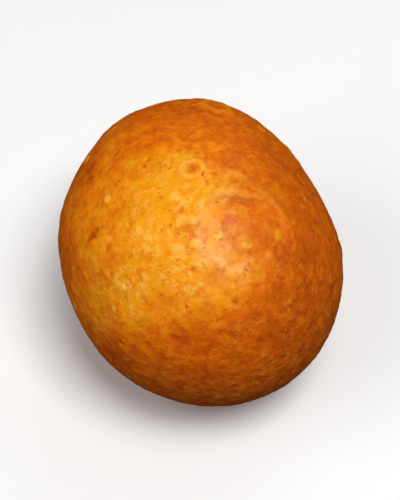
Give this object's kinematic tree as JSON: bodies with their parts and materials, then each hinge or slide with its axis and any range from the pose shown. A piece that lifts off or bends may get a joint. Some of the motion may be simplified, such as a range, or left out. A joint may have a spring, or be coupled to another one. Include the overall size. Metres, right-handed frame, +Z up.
{
  "type": "puff-puff",
  "caption": "Ball of deep-fried yeast dough with a golden-brown crust, slightly egg-shaped, with soft folds, small blisters and a pinched knob at the back; a snack eaten by hand.",
  "frame": {"origin": "Middle of the bounding box's underside, on the flat resting spot.", "axes": "+Z is up, as the ball rests. The picture looks at it from -Y, from above. +X is to the right in the picture. The length lies along Y, turned by about 18 degrees."},
  "size_m": [0.052, 0.0586, 0.0493],
  "materials": {
    "crust": "satin"
  },
  "bodies": {
    "root": {"puff_puff": "crust"}
  },
  "joints": []
}
